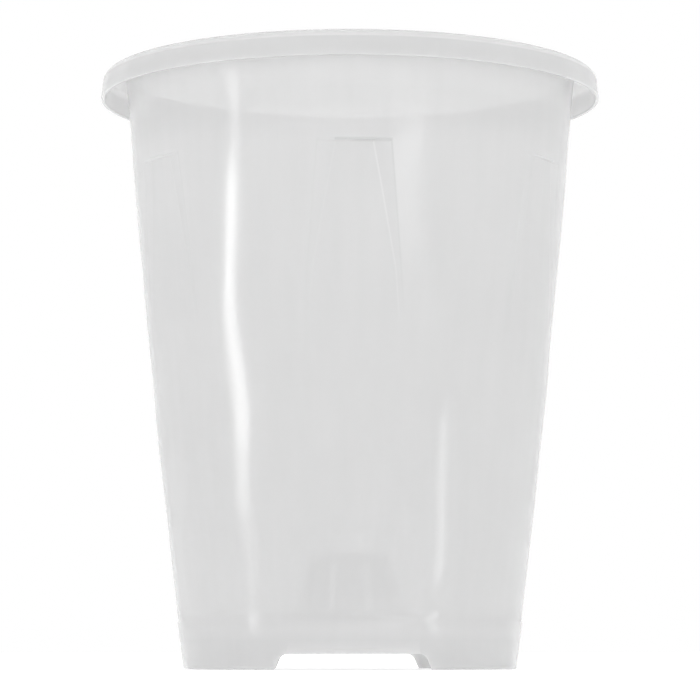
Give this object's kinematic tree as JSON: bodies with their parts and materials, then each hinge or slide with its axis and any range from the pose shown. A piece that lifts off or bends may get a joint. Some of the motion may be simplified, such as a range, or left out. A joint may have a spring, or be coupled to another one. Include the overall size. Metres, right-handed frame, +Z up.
{
  "type": "orchid pot",
  "caption": "Clear tapered plant pot with a turned-down rim, stacking dents, a raised slotted floor and a slotted air cone in its middle.",
  "frame": {"origin": "middle of the underside, on the plane the feet stand on", "axes": "+Z up along the pot's axis; a drain notch between the feet faces -Y, the other +Y"},
  "size_m": [0.13, 0.13, 0.1543],
  "materials": {
    "clear_plastic": "thin, clear, faintly milky polypropylene with a soft gloss"
  },
  "bodies": {
    "root": {"rim_deck": "clear_plastic", "rim_skirt": "clear_plastic", "wall": "clear_plastic", "base_band": "clear_plastic", "foot_left": "clear_plastic", "foot_right": "clear_plastic", "floor_plate": "clear_plastic", "aeration_cone": "clear_plastic", "cone_cap": "clear_plastic"}
  },
  "joints": []
}
